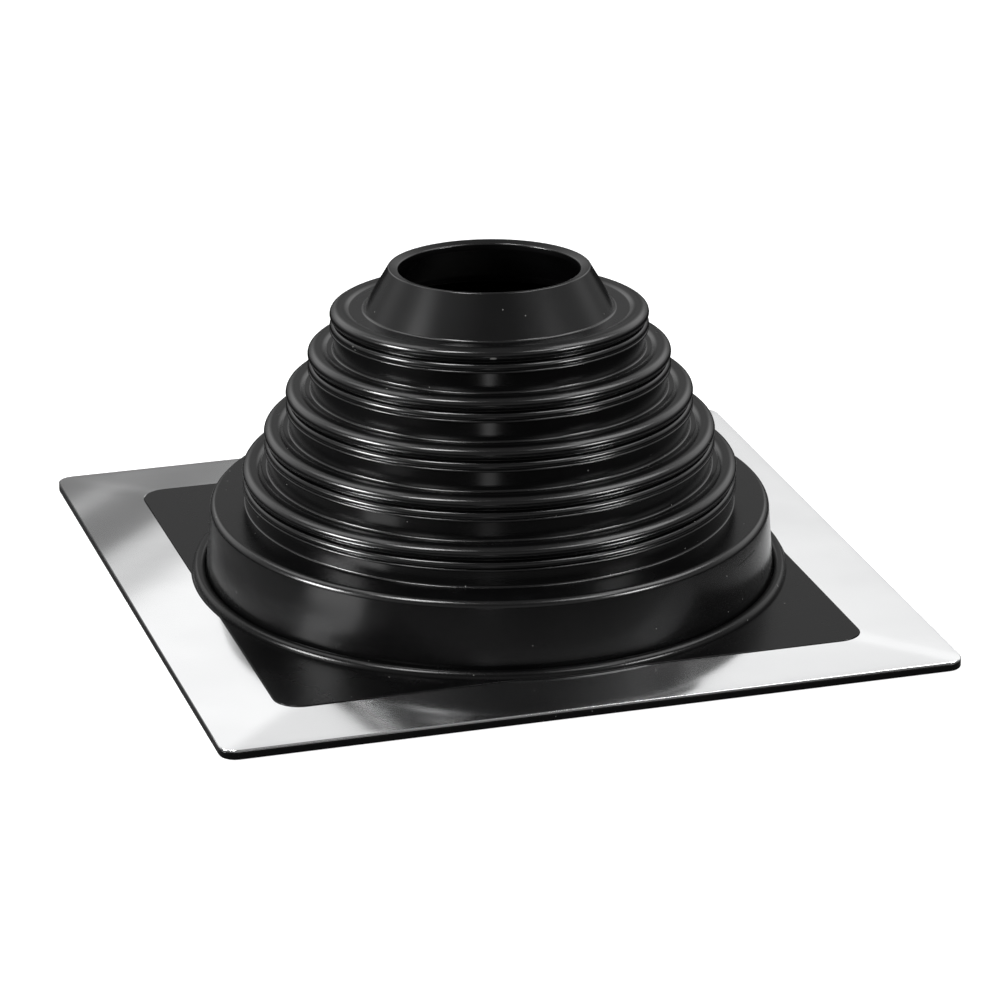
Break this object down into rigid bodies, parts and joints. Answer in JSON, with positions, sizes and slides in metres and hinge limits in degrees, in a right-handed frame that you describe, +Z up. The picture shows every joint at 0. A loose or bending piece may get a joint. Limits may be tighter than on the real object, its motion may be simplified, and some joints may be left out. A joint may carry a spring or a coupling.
{
  "type": "pipe flashing boot",
  "caption": "Stepped hollow rubber boot on a square flange of soft aluminium sheet, which seals a round pipe or flue where it goes through a roof.",
  "frame": {"origin": "middle of the underside, on the axis of the opening", "axes": "+Z up along the axis of the opening, X and Y along the sides of the square flange"},
  "size_m": [0.3, 0.3, 0.134],
  "materials": {
    "black_rubber": "satin, moulded",
    "soft_aluminium": "bright rolled sheet"
  },
  "bodies": {
    "root": {"rubber_boot": "black_rubber", "aluminium_flange": "soft_aluminium"}
  },
  "joints": []
}
